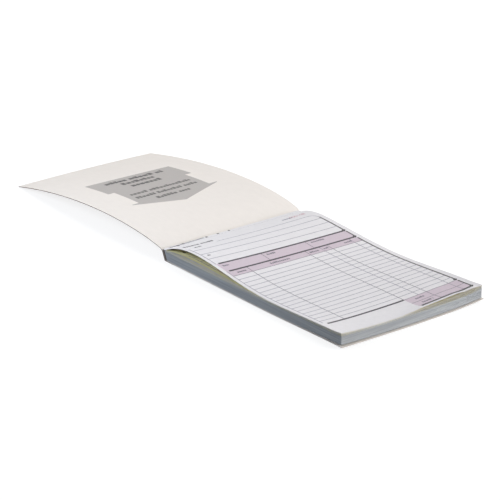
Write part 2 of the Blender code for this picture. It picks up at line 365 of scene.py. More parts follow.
def foot_gap(x, y):
    """How far the lowest leaf's foot has come off the back cover, most of all at the left corner."""
    gap = mix(FOOT_GAP, FOOT_GAP_LEFT, np.maximum(0.0, -x / HALF_WIDTH) ** FOOT_GAP_POWER)
    return gap * np.maximum(0.0, 1 - (y - FOOT_Y) / FOOT_GAP_REACH) ** 2


def leaf_top(index):
    """The upper face of a loose leaf, counted from the top original, as a function of the place on the page."""
    bulge_share = BULGE_SHARES[index] if index < len(BULGE_SHARES) else 0.0
    curl_share = mix(CURL_PRESSED, 1.0, 1 - index / LOOSE_LEAVES)
    fan_share = FOOT_FAN[index] if index < len(FOOT_FAN) else 0.0

    def height(x, y):
        # Towards the right corner the top original lies down again on the next leaf
        drooped = FOOT_DROOP * ease((x - FOOT_DROOP_FROM) / FOOT_DROOP_RAMP) if index == 0 else 0.0
        fanned = fan_share - drooped
        curled = mix(curl(x, y, CURL_RIGHT_POWER), curl(x, y, CURL_RIGHT_POWER_TOP), fanned)
        lifted = bulge_share * bulge(x, y) + fanned * foot_lift(x, y)
        return PAD_TOP - index * LOOSE_PITCH + curl_share * curled + lifted

    return height


def flap_middle(x, y):
    """The middle of the flap's card, from the scored line to its free edge on the table."""
    along = np.clip((y - CREASE_Y) / FLAP_REACH, 0.0, 1.0)
    across = x / COVER_WIDTH + 0.5
    skewed = along ** mix(FLAP_ARCH_SKEW_LEFT, FLAP_ARCH_SKEW_RIGHT, across)
    arch = mix(FLAP_ARCH_LEFT, FLAP_ARCH_RIGHT, across) * 4 * skewed * (1 - skewed)
    bow = FREE_EDGE_BOW * (1 - (2 * x / COVER_WIDTH) ** 2) * along**FREE_EDGE_POWER
    return mix(CREASE_HEIGHT, CARD / 2, along) + arch + bow


def flap_top(x, y):
    slope = (flap_middle(x, y + SLOPE_STEP) - flap_middle(x, y - SLOPE_STEP)) / (2 * SLOPE_STEP)
    return flap_middle(x, y) + CARD / 2 * np.sqrt(1 + slope * slope)


def head_y(z, out=0.0):
    """Place of the pad's slanted head at a height, or of a layer that lies a distance out from it."""
    return HEAD_Y - HEAD_SLANT * (STUB_TOP - z) / (STUB_TOP - PAD_BOTTOM) + out / math.sin(HEAD_LEAN)


def cover_middle(x):
    """Rows of points down the middle of the card, from the back cover's foot, round the spine, to the flap's end."""
    bend_top = CARD / 2 + SPINE_BEND * (1 - math.cos(HEAD_LEAN))
    bend_y = head_y(bend_top, SPINE_OUT) - SPINE_BEND * math.sin(HEAD_LEAN)
    back_rows = 22
    rows = [(y, CARD / 2) for y in np.linspace(FOOT_Y - COVER_FOOT, bend_y, back_rows)]
    for turn in np.linspace(0.0, HEAD_LEAN, 7)[1:]:
        rows.append((bend_y + SPINE_BEND * math.sin(turn), CARD / 2 + SPINE_BEND * (1 - math.cos(turn))))
    rows.extend((head_y(z, SPINE_OUT), z) for z in np.linspace(bend_top, SPINE_STRAIGHT_TO, 5)[1:])
    start_y, start_z = rows[-1]
    straight_rows = np.array(rows)
    y = np.repeat(straight_rows[:, :1], len(x), axis=1)
    z = np.repeat(straight_rows[:, 1:], len(x), axis=1)
    z[:back_rows] += card_curl(x, y[:back_rows])
    # The crease is a curve whose two tangents are the spine and the flap
    end_z = flap_middle(x, CREASE_END_Y)
    end_slope = (flap_middle(x, CREASE_END_Y + SLOPE_STEP) - end_z) / SLOPE_STEP
    start_slope = math.tan(HEAD_LEAN)
    corner_y = (end_z - start_z + start_slope * start_y - end_slope * CREASE_END_Y) / (start_slope - end_slope)
    corner_z = start_z + start_slope * (corner_y - start_y)
    for share in np.linspace(0.0, 1.0, 16)[1:]:
        first, second, third = (1 - share) ** 2, 2 * share * (1 - share), share * share
        y = np.vstack([y, first * start_y + second * corner_y + third * CREASE_END_Y])
        z = np.vstack([z, first * start_z + second * corner_z + third * end_z])
    past_crease = np.concatenate([np.arange(*FLAP_CLOSE_ROWS), np.linspace(FLAP_WIDE_ROWS, FLAP_REACH, 80)])
    for row_y in CREASE_Y + past_crease:
        y = np.vstack([y, np.full_like(x, row_y)])
        z = np.vstack([z, flap_middle(x, row_y)])
    return y, z


# Meshes


def sheet_parts(upper, lower, slots):
    """Points, faces and slots of a closed sheet between two grids: its upper side, its lower side and its rim.

    The rim has one slot, or four for its first row, last column, last row and first column.
    """
    rows, columns = upper.shape[:2]
    index = np.arange(rows * columns).reshape(rows, columns)
    under = index + rows * columns
    top = np.stack([index[:-1, :-1], index[:-1, 1:], index[1:, 1:], index[1:, :-1]], axis=-1).reshape(-1, 4)
    bottom = np.stack([under[:-1, :-1], under[1:, :-1], under[1:, 1:], under[:-1, 1:]], axis=-1).reshape(-1, 4)
    rim = np.concatenate([index[0, :-1], index[:-1, -1], index[-1, :0:-1], index[:0:-1, 0]])
    following = np.roll(rim, -1)
    side = np.stack([rim, rim + rows * columns, following + rows * columns, following], axis=-1)
    points = np.concatenate([upper.reshape(-1, 3), lower.reshape(-1, 3)])
    faces = np.concatenate([top, bottom, side])
    rim_slots = np.broadcast_to(slots[2], 4).repeat([columns - 1, rows - 1, columns - 1, rows - 1])
    kinds = np.concatenate([np.repeat(slots[:2], [len(top), len(bottom)]), rim_slots])
    return points, faces, kinds


def new_mesh(name, parts, materials):
    """One mesh in metres from closed sheets in millimetres."""
    points, faces, kinds = [], [], []
    count = 0
    for part_points, part_faces, part_kinds in parts:
        points.append(part_points)
        faces.append(part_faces + count)
        kinds.append(part_kinds)
        count += len(part_points)
    mesh = bpy.data.meshes.new(name)
    mesh.from_pydata((np.concatenate(points) * MM).tolist(), [], np.concatenate(faces).tolist())
    for material in materials:
        mesh.materials.append(material)
    mesh.polygons.foreach_set("material_index", np.concatenate(kinds).astype(np.int32))
    return mesh


def new_piece(name, mesh):
    mesh.polygons.foreach_set("use_smooth", np.ones(len(mesh.polygons), dtype=bool))
    mesh.set_sharp_from_angle(angle=SHARP_ANGLE)
    mesh.update()
    piece = bpy.data.objects.new(name, mesh)
    scene.collection.objects.link(piece)
    return piece


def page_grid(left, right, foot, head, step):
    across = np.linspace(left, right, max(2, math.ceil((right - left) / step) + 1))
    along = np.linspace(foot, head, max(2, math.ceil((head - foot) / step) + 1))
    return np.meshgrid(across, along)


def leaf_grid(left, right, foot, head):
    """Places on a leaf, twice as close along the right edge and the foot, where it curls most."""
    across = np.concatenate([np.linspace(left, FINE_RIGHT_X, 43)[:-1], np.linspace(FINE_RIGHT_X, right, 25)])
    along = np.concatenate([np.linspace(foot, FINE_FOOT_Y, 17)[:-1], np.linspace(FINE_FOOT_Y, head, 76)])
    return np.meshgrid(across, along)


def layer(x, y, top, depth, slots):
    """A closed sheet of even depth, under a grid of heights."""
    return sheet_parts(np.dstack([x, y, top]), np.dstack([x, y, top - depth]), slots)


def lay(x, y, height, lift, sink, slot):
    """A mark that follows a surface: it stands off it by lift, and reaches into it by sink."""
    return layer(x, y, height(x, y) + lift, lift + sink, (slot, slot, slot))


def plain_mesh(source):
    """What an object shows, as a plain mesh; the object itself goes."""
    graph = bpy.context.evaluated_depsgraph_get()
    mesh = bpy.data.meshes.new_from_object(source.evaluated_get(graph), depsgraph=graph)
    bpy.data.objects.remove(source)
    return mesh


# Materials


def rgba(code):
    """An sRGB hex colour as linear RGBA."""
    values = [int(code[i : i + 2], 16) / 255 for i in (0, 2, 4)]
    return [v / 12.92 if v <= 0.04045 else ((v + 0.055) / 1.055) ** 2.4 for v in values] + [1.0]


def node(tree, kind, inputs=None, stops=(), **settings):
    """Adds a node, with its settings, its colour stops, and its inputs as values or as links from other outputs."""
    made = tree.nodes.new(kind)
    for name, value in settings.items():
        setattr(made, name, value)
    for i, (position, code) in enumerate(stops):
        made.color_ramp.elements[i].position = position
        made.color_ramp.elements[i].color = rgba(code)
    for socket, value in (inputs or {}).items():
        if isinstance(value, bpy.types.NodeSocket):
            tree.links.new(value, made.inputs[socket])
        else:
            made.inputs[socket].default_value = value
    return made


def blank_material(name):
    material = bpy.data.materials.new(name)
    material.use_nodes = True
    return material, material.node_tree, material.node_tree.nodes["Principled BSDF"]


def paper(name, light, dark):
    """Coated carbonless paper: matt, with pale clumps of fibre a few millimetres across and a very fine tooth."""
    material, tree, shader = blank_material(name)
    place = node(tree, "ShaderNodeTexCoord").outputs["Object"]
    clumps = node(tree, "ShaderNodeTexNoise", {"Vector": place, "Scale": 1 / (3.5 * MM), "Detail": 3.0})
    tooth = node(tree, "ShaderNodeTexNoise", {"Vector": place, "Scale": 1 / (0.25 * MM), "Detail": 2.0})
    stops = ((0.35, dark), (0.65, light))
    colour = node(tree, "ShaderNodeValToRGB", {"Fac": clumps.outputs["Fac"]}, stops)
    bump = node(tree, "ShaderNodeBump", {"Strength": 0.12, "Distance": 0.02 * MM, "Height": tooth.outputs["Fac"]})
    rough = node(tree, "ShaderNodeMapRange", {"Value": clumps.outputs["Fac"], "To Min": 0.72, "To Max": 0.84})
    tree.links.new(colour.outputs["Color"], shader.inputs["Base Color"])
    tree.links.new(rough.outputs["Result"], shader.inputs["Roughness"])
    tree.links.new(bump.outputs["Normal"], shader.inputs["Normal"])
    shader.inputs["IOR"].default_value = 1.45
    shader.inputs["Specular IOR Level"].default_value = 0.25
    return material


def ink(name, code, worn):
    """Offset ink, which sinks into the paper: matt, and a little uneven where the paper takes less of it."""
    material, tree, shader = blank_material(name)
    place = node(tree, "ShaderNodeTexCoord").outputs["Object"]
    patches = node(tree, "ShaderNodeTexNoise", {"Vector": place, "Scale": 1 / (0.9 * MM), "Detail": 2.0})
    stops = ((0.4, code), (0.75, worn))
    colour = node(tree, "ShaderNodeValToRGB", {"Fac": patches.outputs["Fac"]}, stops)
    rough = node(tree, "ShaderNodeMapRange", {"Value": patches.outputs["Fac"], "To Min": 0.5, "To Max": 0.7})
    tree.links.new(colour.outputs["Color"], shader.inputs["Base Color"])
    tree.links.new(rough.outputs["Result"], shader.inputs["Roughness"])
    shader.inputs["IOR"].default_value = 1.48
    shader.inputs["Specular IOR Level"].default_value = 0.3
    return material


def trimmed_edges():
    """Guillotined leaf edges: thin cut lines in blue-grey and pale grey.

    One leaf is too fine to show in colour, so the colour goes in bands half a millimetre high, as where a few leaves
    stand proud, and only the bump is as fine as the leaves.
    """
    material, tree, shader = blank_material("guillotined_paper_edges")
    place = node(tree, "ShaderNodeTexCoord").outputs["Object"]
    flat = node(tree, "ShaderNodeMapping", {"Vector": place, "Scale": (18.0, 18.0, 1 / (0.55 * MM))})
    bands = node(tree, "ShaderNodeTexNoise", {"Vector": flat.outputs["Vector"], "Scale": 1.0, "Detail": 4.0})
    thin = node(tree, "ShaderNodeMapping", {"Vector": place, "Scale": (30.0, 30.0, 1 / (0.12 * MM))})
    leaves = node(tree, "ShaderNodeTexNoise", {"Vector": thin.outputs["Vector"], "Scale": 1.0, "Detail": 1.0})
    stops = ((0.32, "A3A6AC"), (0.68, "C6C9CA"))
    colour = node(tree, "ShaderNodeValToRGB", {"Fac": bands.outputs["Fac"]}, stops)
    bump = node(tree, "ShaderNodeBump", {"Strength": 0.35, "Distance": 0.06 * MM, "Height": leaves.outputs["Fac"]})
    tree.links.new(colour.outputs["Color"], shader.inputs["Base Color"])
    tree.links.new(bump.outputs["Normal"], shader.inputs["Normal"])
    shader.inputs["Roughness"].default_value = 0.85
    shader.inputs["Specular IOR Level"].default_value = 0.2
    return material


def board(name, light, dark, rough_low, rough_high, specular):
    """Card of pressed pulp: long soft clouds along its grain, and a fine tooth."""
    material, tree, shader = blank_material(name)
    place = node(tree, "ShaderNodeTexCoord").outputs["Object"]
    grain = node(tree, "ShaderNodeMapping", {"Vector": place, "Scale": (1 / (4 * MM), 1 / (9 * MM), 1 / (4 * MM))})
    clouds = node(tree, "ShaderNodeTexNoise", {"Vector": grain.outputs["Vector"], "Scale": 1.0, "Detail": 4.0})
    tooth = node(tree, "ShaderNodeTexNoise", {"Vector": place, "Scale": 1 / (0.35 * MM), "Detail": 3.0})
    stops = ((0.3, dark), (0.7, light))
    colour = node(tree, "ShaderNodeValToRGB", {"Fac": clouds.outputs["Fac"]}, stops)
    bump = node(tree, "ShaderNodeBump", {"Strength": 0.15, "Distance": 0.03 * MM, "Height": tooth.outputs["Fac"]})
    rough = node(
        tree, "ShaderNodeMapRange", {"Value": clouds.outputs["Fac"], "To Min": rough_low, "To Max": rough_high}
    )
    tree.links.new(colour.outputs["Color"], shader.inputs["Base Color"])
    tree.links.new(rough.outputs["Result"], shader.inputs["Roughness"])
    tree.links.new(bump.outputs["Normal"], shader.inputs["Normal"])
    shader.inputs["IOR"].default_value = 1.47
    shader.inputs["Specular IOR Level"].default_value = specular
    return material


def padding_compound():
    """Dried padding glue: a milky, rubbery film with brush marks along the head."""
    material, tree, shader = blank_material("padding_compound")
    place = node(tree, "ShaderNodeTexCoord").outputs["Object"]
    drawn = node(tree, "ShaderNodeMapping", {"Vector": place, "Scale": (1 / (14 * MM), 1 / (1 * MM), 1 / (0.8 * MM))})
    marks = node(tree, "ShaderNodeTexNoise", {"Vector": drawn.outputs["Vector"], "Scale": 1.0, "Detail": 3.0})
    stops = ((0.3, "D3CCB4"), (0.7, "EAE5D2"))
    colour = node(tree, "ShaderNodeValToRGB", {"Fac": marks.outputs["Fac"]}, stops)
    bump = node(tree, "ShaderNodeBump", {"Strength": 0.4, "Distance": 0.08 * MM, "Height": marks.outputs["Fac"]})
    tree.links.new(colour.outputs["Color"], shader.inputs["Base Color"])
    tree.links.new(bump.outputs["Normal"], shader.inputs["Normal"])
    shader.inputs["Roughness"].default_value = 0.45
    shader.inputs["IOR"].default_value = 1.47
    return material


def seen_rays(tree):
    """1 for what the camera sees, straight or by way of gloss or glass, and 0 for rays that only carry light."""
    rays = node(tree, "ShaderNodeLightPath").outputs
    seen = rays["Is Camera Ray"]
    for other in ("Is Glossy Ray", "Is Transmission Ray"):
        seen = node(tree, "ShaderNodeMath", {0: seen, 1: rays[other]}, operation="MAXIMUM").outputs["Value"]
    return seen


def studio_floor():
    """White seamless paper. What the camera sees of it is lifted to white, and it keeps the book's shadow."""
    material, tree, shader = blank_material("white_seamless_paper")
    place = node(tree, "ShaderNodeTexCoord").outputs["Object"]
    clouds = node(tree, "ShaderNodeTexNoise", {"Vector": place, "Scale": 1 / (60 * MM), "Detail": 2.0})
    stops = ((0.3, "8C8C8C"), (0.7, "909090"))
    colour = node(tree, "ShaderNodeValToRGB", {"Fac": clouds.outputs["Fac"]}, stops)
    tree.links.new(colour.outputs["Color"], shader.inputs["Base Color"])
    shader.inputs["Roughness"].default_value = 0.9
    shader.inputs["Specular IOR Level"].default_value = 0.1
    lift = node(tree, "ShaderNodeMath", {0: seen_rays(tree), 1: FLOOR_LIFT}, operation="MULTIPLY")
    glow = node(tree, "ShaderNodeEmission", {"Color": rgba("FFFFFF"), "Strength": lift.outputs["Value"]})
    both = node(tree, "ShaderNodeAddShader", {0: shader.outputs["BSDF"], 1: glow.outputs["Emission"]})
    tree.links.new(both.outputs["Shader"], tree.nodes["Material Output"].inputs["Surface"])
    return material


WHITE_PAPER = paper("white_carbonless_paper", "E3E0E1", "DFDCDD")
YELLOW_PAPER = paper("yellow_carbonless_paper", "F3EDBE", "ECE5B4")
PAPER_EDGES = trimmed_edges()
BOARD_INSIDE = board("white_lined_board_uncoated", "E9E2DB", "E6DFD8", 0.62, 0.78, 0.25)
BOARD_OUTSIDE = board("white_lined_board_printed_side", "CDB4B8", "C4A9AE", 0.34, 0.46, 0.45)
# The spine's and the flap's cut edge: dark brown painted shade, darker than the card's own edge colour below
BOARD_EDGE_PAINTED_SHADE = board("white_lined_board_cut_edge_painted_shade", "5E3F3C", "4C302D", 0.8, 0.9, 0.15)
BOARD_FOOT_EDGE = board("white_lined_board_trimmed_edge", "E0D6CF", "D2C6BE", 0.8, 0.9, 0.15)
FRAME_INK = ink("dark_offset_ink", "1E171D", "2E272D")
# This grey ink also paints the fold's shadow line at the head, as painted shade
COLUMN_INK_AND_FOLD_SHADE = ink("grey_offset_ink", "504B56", "605B66")
RULE_INK = ink("pale_grey_offset_ink", "75707F", "858090")
TINT_INK = ink("mauve_screen_tint", "C1B2BB", "C8BAC3")
TINT_INK_ON_YELLOW = ink("mauve_screen_tint_on_yellow", "CDB994", "D4C29B")
NUMBER_INK = ink("red_numbering_ink", "B37380", "C08A95")
ARROW_INK = ink("grey_screen_tint", "A7A19D", "AEA8A4")
ARROW_TEXT_INK = ink("dark_grey_offset_ink", "3A3735", "4A4744")
ARROW_NOTE_INK = ink("mid_grey_offset_ink", "4F4C49", "5C5956")
HOLE_SHADE = ink("shaded_cut_in_paper", "35312F", "454140")
GLUE = padding_compound()
# Dark brown of the head's ends: partly glue soaked into the paper, partly painted shade of the gap by the spine
SOAKED_AND_SHADED_EDGES = board("glue_soaked_and_shaded_paper_edges", "625450", "50433F", 0.55, 0.7, 0.3)


# Camera and light

camera_data = bpy.data.cameras.new("camera")
camera_data.sensor_width = SENSOR_WIDTH
camera_data.lens = FOCAL_PIXELS / FRAME_PIXELS * SENSOR_WIDTH
camera_data.clip_start = 0.05
camera_data.clip_end = 50.0
camera = bpy.data.objects.new("camera", camera_data)
backward = Vector(
    (
        math.sin(CAMERA_AZIMUTH) * math.cos(CAMERA_ELEVATION),
        -math.cos(CAMERA_AZIMUTH) * math.cos(CAMERA_ELEVATION),
        math.sin(CAMERA_ELEVATION),
    )
)
camera.location = CAMERA_TARGET + backward * CAMERA_DISTANCE
camera.rotation_euler = (-backward).to_track_quat("-Z", "Y").to_euler()
scene.collection.objects.link(camera)
scene.camera = camera

for box_name, place, aim, width, power, tint in SOFT_BOXES:
    box_data = bpy.data.lights.new(box_name, "AREA")
    box_data.shape = "SQUARE"
    box_data.size = width
    box_data.energy = power
    box_data.color = tint
    soft_box = bpy.data.objects.new(box_name, box_data)
    soft_box.location = place
    soft_box.rotation_euler = (Vector(aim) - Vector(place)).to_track_quat("-Z", "Y").to_euler()
    scene.collection.objects.link(soft_box)

world = bpy.data.worlds.new("studio")
scene.world = world
world.use_nodes = True
world_tree = world.node_tree
ambient = node(world_tree, "ShaderNodeBackground", {"Color": rgba("F8F9FC"), "Strength": AMBIENT})
backdrop = node(world_tree, "ShaderNodeBackground", {"Color": rgba("FFFFFF"), "Strength": 1.0})
sky = node(
    world_tree,
    "ShaderNodeMixShader",
    {0: seen_rays(world_tree), 1: ambient.outputs["Background"], 2: backdrop.outputs["Background"]},
)
world_tree.links.new(sky.outputs["Shader"], world_tree.nodes["World Output"].inputs["Surface"])

floor_x, floor_y = page_grid(-FLOOR_HALF, FLOOR_HALF, -FLOOR_HALF, FLOOR_HALF, FLOOR_HALF)
floor_parts = layer(floor_x, floor_y, np.full_like(floor_x, -FLOOR_DROP), FLOOR_DEPTH, (0, 0, 0))
floor = new_piece("floor", new_mesh("floor", [floor_parts], [studio_floor()]))


# Cover

across = np.linspace(-COVER_WIDTH / 2, COVER_WIDTH / 2, 31)
card_y, card_z = cover_middle(across)
heading_y = np.gradient(card_y, axis=0)
heading_z = np.gradient(card_z, axis=0)
length = np.hypot(heading_y, heading_z)
inward_y = -heading_z / length * CARD / 2
inward_z = heading_y / length * CARD / 2
card_x = np.repeat(across[None, :], len(card_y), axis=0)
inside = np.dstack([card_x, card_y + inward_y, card_z + inward_z])
outside = np.dstack([card_x, card_y - inward_y, card_z - inward_z])
cover_points, cover_faces, cover_kinds = sheet_parts(inside, outside, (INSIDE, OUTSIDE, SHADED_EDGE))
# The back panel's cut edge has the card's own light colour; the spine's and flap's are painted dark as painted shade
on_back = cover_points[cover_faces, 1].max(axis=1) < HEAD_Y - HEAD_SLANT
cover_kinds[(cover_kinds == SHADED_EDGE) & on_back] = PLAIN_EDGE
cover_mesh = new_mesh(
    "wrap_cover",
    [(cover_points, cover_faces, cover_kinds)],
    [BOARD_INSIDE, BOARD_OUTSIDE, BOARD_EDGE_PAINTED_SHADE, BOARD_FOOT_EDGE],
)
wrap_cover = new_piece("wrap_cover", cover_mesh)
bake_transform(wrap_cover)
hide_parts("back_cover", "front_flap")


# Leaves

shuffle = np.random.default_rng(LEAF_SEED)
leaf_names = [f"{('original', 'duplicate')[i % 2]}_{i // 2 + 1}" for i in range(LOOSE_LEAVES)]
for i, leaf_name in enumerate(leaf_names):
    off_left, off_right, off_foot = shuffle.uniform(-LEAF_SHIFT, LEAF_SHIFT, 3)
    leaf_x, leaf_y = leaf_grid(-HALF_WIDTH + off_left, HALF_WIDTH + off_right, FOOT_Y + off_foot, SLIT_Y - LEAF_SLIT)
    leaf_parts = layer(leaf_x, leaf_y, leaf_top(i)(leaf_x, leaf_y), PAPER, (0, 0, 1))
    leaf_paper = WHITE_PAPER if i % 2 == 0 else YELLOW_PAPER
    leaf_edge = WHITE_PAPER if i < WHITE_EDGES else PAPER_EDGES
    leaf = new_piece(f"sheet_{leaf_name}", new_mesh(f"sheet_{leaf_name}", [leaf_parts], [leaf_paper, leaf_edge]))
    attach(leaf, leaf_name)
    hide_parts(leaf_name)


# Pressed block and glued head


def pressed_stack():
    """Stacks a leaf many times, shifts each a little, and passes on more of the curl the higher it lies.

    The lower a leaf lies, the further its head is pulled towards the foot, and its foot off the back cover.
    """
    tree = bpy.data.node_groups.new("pressed_stack", "GeometryNodeTree")
    for label, kind in (
        ("Leaf", "NodeSocketGeometry"),
        ("Leaves", "NodeSocketInt"),
        ("Pitch", "NodeSocketFloat"),
        ("Curl Share", "NodeSocketFloat"),
        ("Head Slant", "NodeSocketFloat"),
        ("Shift", "NodeSocketFloat"),
        ("Seed", "NodeSocketInt"),
        ("Material", "NodeSocketMaterial"),
    ):
        tree.interface.new_socket(label, in_out="INPUT", socket_type=kind)
    tree.interface.new_socket("Stack", in_out="OUTPUT", socket_type="NodeSocketGeometry")
    sizes = node(tree, "NodeGroupInput").outputs
    step = node(tree, "ShaderNodeCombineXYZ", {"Z": sizes["Pitch"]})
    levels = node(
        tree, "GeometryNodeMeshLine", {"Count": sizes["Leaves"], "Offset": step.outputs["Vector"]}, mode="OFFSET"
    )
    stack = node(
        tree, "GeometryNodeInstanceOnPoints", {"Points": levels.outputs["Mesh"], "Instance": sizes["Leaf"]}
    )
    numbered = node(
        tree,
        "GeometryNodeStoreNamedAttribute",
        {
            "Geometry": stack.outputs["Instances"],
            "Name": "level",
            "Value": node(tree, "GeometryNodeInputIndex").outputs["Index"],
        },
        data_type="FLOAT",
        domain="INSTANCE",
    )
    solid = node(tree, "GeometryNodeRealizeInstances", {"Geometry": numbered.outputs["Geometry"]})
    level, curl_here, head_here, gap_here = (
        node(tree, "GeometryNodeInputNamedAttribute", {"Name": label}, data_type="FLOAT").outputs["Attribute"]
        for label in ("level", "curl", "head", "foot")
    )
    share = node(tree, "ShaderNodeMath", {0: level, 1: sizes["Leaves"]}, operation="DIVIDE")
    fanned = node(tree, "ShaderNodeMath", {0: share.outputs["Value"], 1: sizes["Curl Share"]}, operation="MULTIPLY")
    curled = node(tree, "ShaderNodeMath", {0: fanned.outputs["Value"], 1: curl_here}, operation="MULTIPLY")
    depth = node(tree, "ShaderNodeMath", {0: share.outputs["Value"], 1: 1.0}, operation="SUBTRACT")
    closed = node(tree, "ShaderNodeMath", {0: depth.outputs["Value"], 1: gap_here}, operation="MULTIPLY")
    rise = node(tree, "ShaderNodeMath", {0: curled.outputs["Value"], 1: closed.outputs["Value"]}, operation="SUBTRACT")
    slant = node(tree, "ShaderNodeMath", {0: depth.outputs["Value"], 1: sizes["Head Slant"]}, operation="MULTIPLY")
    pulled = node(tree, "ShaderNodeMath", {0: slant.outputs["Value"], 1: head_here}, operation="MULTIPLY")
    below = node(tree, "ShaderNodeMath", {0: sizes["Shift"], 1: -1.0}, operation="MULTIPLY")
    other_seed = node(tree, "ShaderNodeMath", {0: sizes["Seed"], 1: 1.0}, operation="ADD")
    aside, ahead = (
        node(
            tree,
            "FunctionNodeRandomValue",
            {2: below.outputs["Value"], 3: sizes["Shift"], "ID": level, "Seed": seed},
            data_type="FLOAT",
        )
        for seed in (sizes["Seed"], other_seed.outputs["Value"])
    )
    back = node(tree, "ShaderNodeMath", {0: ahead.outputs[1], 1: pulled.outputs["Value"]}, operation="ADD")
    moved = node(
        tree,
        "ShaderNodeCombineXYZ",
        {"X": aside.outputs[1], "Y": back.outputs["Value"], "Z": rise.outputs["Value"]},
    )
    placed = node(
        tree, "GeometryNodeSetPosition", {"Geometry": solid.outputs["Geometry"], "Offset": moved.outputs["Vector"]}
    )
    finished = node(
        tree, "GeometryNodeSetMaterial", {"Geometry": placed.outputs["Geometry"], "Material": sizes["Material"]}
    )
    node(tree, "NodeGroupOutput", {"Stack": finished.outputs["Geometry"]})
    return tree


def grow(name, tree, start_mesh, sizes):
    """Runs a tree once on a starting mesh and keeps the result as a plain mesh."""
    source = bpy.data.objects.new(f"{name}_start", start_mesh)
    scene.collection.objects.link(source)
    modifier = source.modifiers.new("grow", "NODES")
    modifier.node_group = tree
    for item in tree.interface.items_tree:
        if item.in_out == "INPUT" and item.name in sizes:
            modifier[item.identifier] = sizes[item.name]
    mesh = plain_mesh(source)
    mesh.name = name
    return mesh


block_across = np.concatenate(
    [np.linspace(-HALF_WIDTH, PRESSED_WIDE_X, 9), np.linspace(PRESSED_CLOSE_X, HALF_WIDTH, 8)]
)
block_along = np.concatenate(
    [
        np.linspace(FOOT_Y, FOOT_Y + FOOT_REACH, 5),
        np.linspace(FOOT_Y + PRESSED_FOOT_ROWS, PRESSED_HEAD_Y, 12),
        [SLIT_Y - PRESSED_HEAD_GAP],
    ]
)
block_x, block_y = np.meshgrid(block_across, block_along)
block_depth = PRESSED_LEAF * PRESSED_FILL
block_parts = layer(block_x, block_y, np.full_like(block_x, PAD_BOTTOM + block_depth), block_depth, (0, 0, 0))
pressed_leaf_mesh = new_mesh("pressed_leaf", [block_parts], [])
for label, field in (
    ("curl", curl(block_x, block_y, CURL_RIGHT_POWER) * MM),
    ("head", block_y > PRESSED_HEAD_Y),
    ("foot", (card_curl(block_x, block_y) + foot_gap(block_x, block_y)) * MM),
):
    values = np.tile(field.reshape(-1), 2).astype(np.float32)
    pressed_leaf_mesh.attributes.new(label, "FLOAT", "POINT").data.foreach_set("value", values)
pressed_mesh = grow(
    "pressed_block",
    pressed_stack(),
    pressed_leaf_mesh,
    {
        "Leaves": PRESSED_LEAVES,
        "Pitch": PRESSED_LEAF * MM,
        "Curl Share": CURL_PRESSED,
        "Head Slant": HEAD_SLANT * MM,
        "Shift": PRESSED_SHIFT * MM,
        "Seed": PRESSED_SEED,
        "Material": PAPER_EDGES,
    },
)
pressed_block = new_piece("pressed_block", pressed_mesh)
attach(pressed_block, "bound_pad")
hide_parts("pressed_sets")


def upright_slab(front, back, slots):
    """A slab as wide as the page between two upright sides, each a row of (y, z) points from its bottom up."""
    x = np.array([-HALF_WIDTH, 0.0, HALF_WIDTH])
    sides = []
    for path in (front, back):
        y, z = np.array(path).T[:, :, None] + np.zeros_like(x)
        sides.append(np.dstack([x + np.zeros_like(y), y, z]))
    return sheet_parts(sides[0], sides[1], slots)


# Each leaf ends at the perforation, the glue has soaked into the last part of every head, and a lip of dried glue
# bridges the notch between the head and the crease. The soaked band's dark brown, also under and round the lip, is
# partly the glue and partly painted shade of the gap between the head and the spine.
stub_front = [
    (SLIT_Y + STUB_FRONT[0] - HEAD_SLANT, PAD_BOTTOM),
    (SLIT_Y + STUB_FRONT[1], PRESSED_TOP),
    (SLIT_Y + STUB_FRONT[2], HEAD_TOP),
]
soaked_shaded_front = [(head_y(z, -SOAKED_SHADED_DEPTH), z) for z in (PAD_BOTTOM, PRESSED_TOP, STUB_TOP + SOAKED_SHADED_STEP)]
soaked_shaded_back = [(head_y(z), z) for z in (PAD_BOTTOM, PRESSED_TOP, STUB_TOP)]
stub_parts = upright_slab(stub_front, soaked_shaded_front, (1, 1, (1, 1, 0, 1)))
soaked_shaded_parts = upright_slab(soaked_shaded_front, soaked_shaded_back, (2, 2, (2, 2, 0, 2)))
lip_x, lip_y = page_grid(-HALF_WIDTH, HALF_WIDTH, HEAD_Y - LIP_IN, HEAD_Y + LIP_OUT, LIP_STEP)
lip_parts = layer(lip_x, lip_y, STUB_TOP - LIP_FALL * (lip_y - HEAD_Y), LIP_DEPTH, (0, 2, 2))
glued_head = new_piece(
    "glued_head",
    new_mesh("glued_head", [stub_parts, soaked_shaded_parts, lip_parts], [WHITE_PAPER, PAPER_EDGES, SOAKED_AND_SHADED_EDGES]),
)
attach(glued_head, "bound_pad")
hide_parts("bound_stub")

glue_mesh = frame["nodes"]["spine_glue"].data
glue_mesh.materials.clear()
glue_mesh.materials.append(GLUE)


# Print on the leaves


def line(points, width):
    """A ruled line along a path, as a grid two points wide."""
    path = [np.array(points[0], dtype=float)]
    for target in points[1:]:
        target = np.array(target, dtype=float)
        steps = max(1, math.ceil(np.linalg.norm(target - path[-1]) / LINE_STEP))
        start = path[-1]
        path.extend(start + (target - start) * k / steps for k in range(1, steps + 1))
    path = np.array(path)
    heading = np.gradient(path, axis=0)
    heading /= np.linalg.norm(heading, axis=1, keepdims=True)
    left = np.stack([-heading[:, 1], heading[:, 0]], axis=1) * width / 2
    both = np.stack([path + left, path - left], axis=1)
    return both[..., 0], both[..., 1]


def corner(middle_x, middle_y, radius, start, end):
    """Points on a rounded corner, from one angle in degrees to another."""
    turns = np.radians(np.linspace(start, end, 7))
    return [(middle_x + radius * math.cos(turn), middle_y + radius * math.sin(turn)) for turn in turns]


